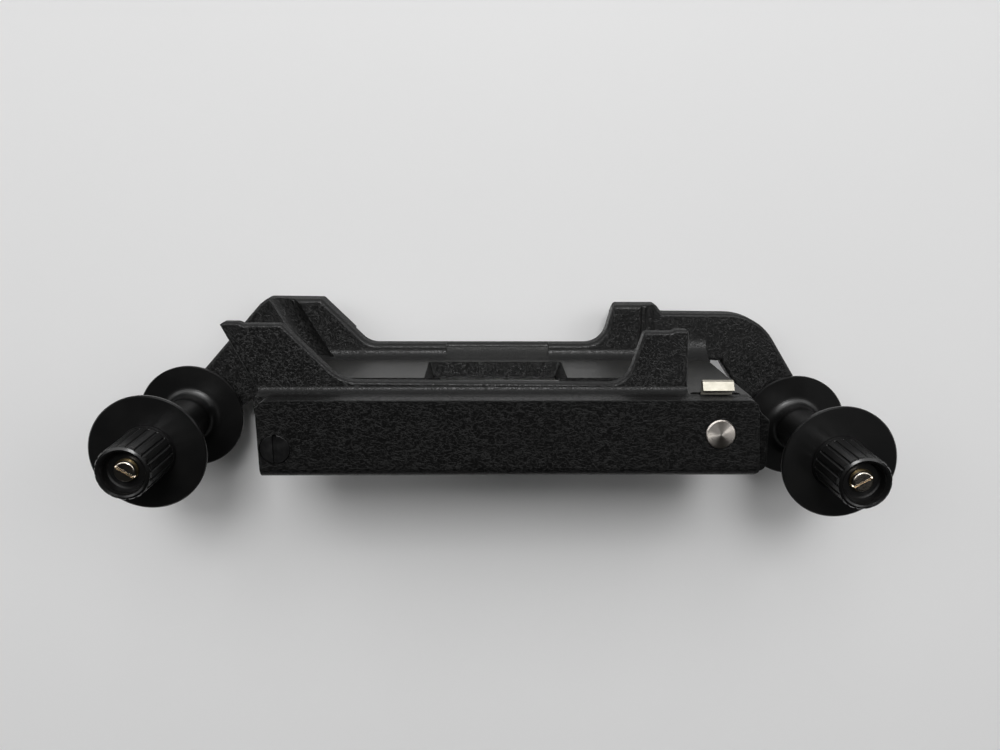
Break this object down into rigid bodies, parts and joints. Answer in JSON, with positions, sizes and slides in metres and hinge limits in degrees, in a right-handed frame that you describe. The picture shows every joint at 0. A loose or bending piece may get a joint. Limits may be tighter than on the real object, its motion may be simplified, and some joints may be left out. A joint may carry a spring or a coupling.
{
  "type": "film strip negative carrier",
  "caption": "Enlarger or projector film carrier with glass gate, hinged sprung door, push-button latch and two fluted winding spools.",
  "frame": {"origin": "centre of the bounding box's base, midway between the two spool axes, on the surface the carrier stands on", "axes": "+X along the film from the left to the right spool, +Y along the optical axis out of the carrier's channel, +Z along the spool axes towards the knobs"},
  "size_m": [0.2284, 0.058, 0.0711],
  "materials": {
    "wrinkle_enamel": "black wrinkle enamel on cast aluminium",
    "black_enamel": "satin black enamel",
    "bakelite": "polished black phenolic moulding",
    "nickel": "nickel-plated steel",
    "turned_steel": "face-turned steel",
    "spring_steel": "drawn spring wire",
    "blackened_steel": "blackened steel",
    "brass": "turned brass",
    "fibre": "vulcanised fibre",
    "glass": "polished flat glass"
  },
  "bodies": {
    "casting": {"gate_casting": "wrinkle_enamel", "fixed_glass": "glass", "film_rail_near": "nickel", "film_rail_far": "nickel", "rail_screws": "nickel", "near_hinge_screw": "blackened_steel", "far_hinge_screw": "blackened_steel", "left_spindle": "turned_steel", "right_spindle": "turned_steel", "left_spindle_nut": "turned_steel", "right_spindle_nut": "turned_steel", "left_friction_washer": "fibre", "right_friction_washer": "fibre", "left_spool_washer": "brass", "right_spool_washer": "brass", "left_spool_screw": "nickel", "right_spool_screw": "nickel"},
    "left_spool": {"left_knob_half": "bakelite", "left_core_half": "bakelite", "left_film_clip": "nickel"},
    "right_spool": {"right_knob_half": "bakelite", "right_core_half": "bakelite", "right_film_clip": "nickel"},
    "door": {"door_channel": "black_enamel", "near_side_plate": "wrinkle_enamel", "far_side_plate": "wrinkle_enamel", "near_plate_screws": "blackened_steel", "far_plate_screws": "blackened_steel", "guide_studs": "nickel", "pressure_springs": "spring_steel", "latch_bracket": "nickel", "bracket_rivets": "turned_steel", "latch_pivot_pin": "turned_steel", "latch_spring": "spring_steel"},
    "pressure_plate": {"pressure_frame": "nickel", "pressure_glass": "glass"},
    "latch": {"latch_lever": "nickel"},
    "button": {"latch_button": "turned_steel", "button_clip": "turned_steel"}
  },
  "joints": [
    {"name": "left_spool_spin", "type": "hinge", "parent": "casting", "child": "left_spool", "pos_m": [-0.09767, -0.00918, 0.0337], "axis": [0, 0, 1], "continuous": true},
    {"name": "right_spool_spin", "type": "hinge", "parent": "casting", "child": "right_spool", "pos_m": [0.09767, -0.01247, 0.0337], "axis": [0, 0, 1], "continuous": true},
    {"name": "door_hinge", "type": "hinge", "parent": "casting", "child": "door", "pos_m": [-0.05745, -0.0023, 0.03525], "axis": [0, 0, -1], "range_deg": [0, 80]},
    {"name": "pressure_slide", "type": "slide", "parent": "door", "child": "pressure_plate", "axis": [0, -1, 0], "range_m": [0, 0.0008], "stiffness_N_per_m": 2500, "springref_m": -0.0008, "deforming": ["pressure_springs"]},
    {"name": "button_press", "type": "slide", "parent": "door", "child": "button", "axis": [0, 0, -1], "range_m": [0, 0.001], "stiffness_N_per_m": 1200, "springref_m": -0.0005},
    {"name": "latch_swing", "type": "hinge", "parent": "door", "child": "latch", "pos_m": [0.0583, -0.0049, 0.0621], "axis": [-1, 0, 0], "range_deg": [0, 8.6], "deforming": ["latch_spring"]}
  ],
  "couplings": [
    {"joint": "latch_swing", "follows": "button_press", "rad_per_m": 150}
  ]
}
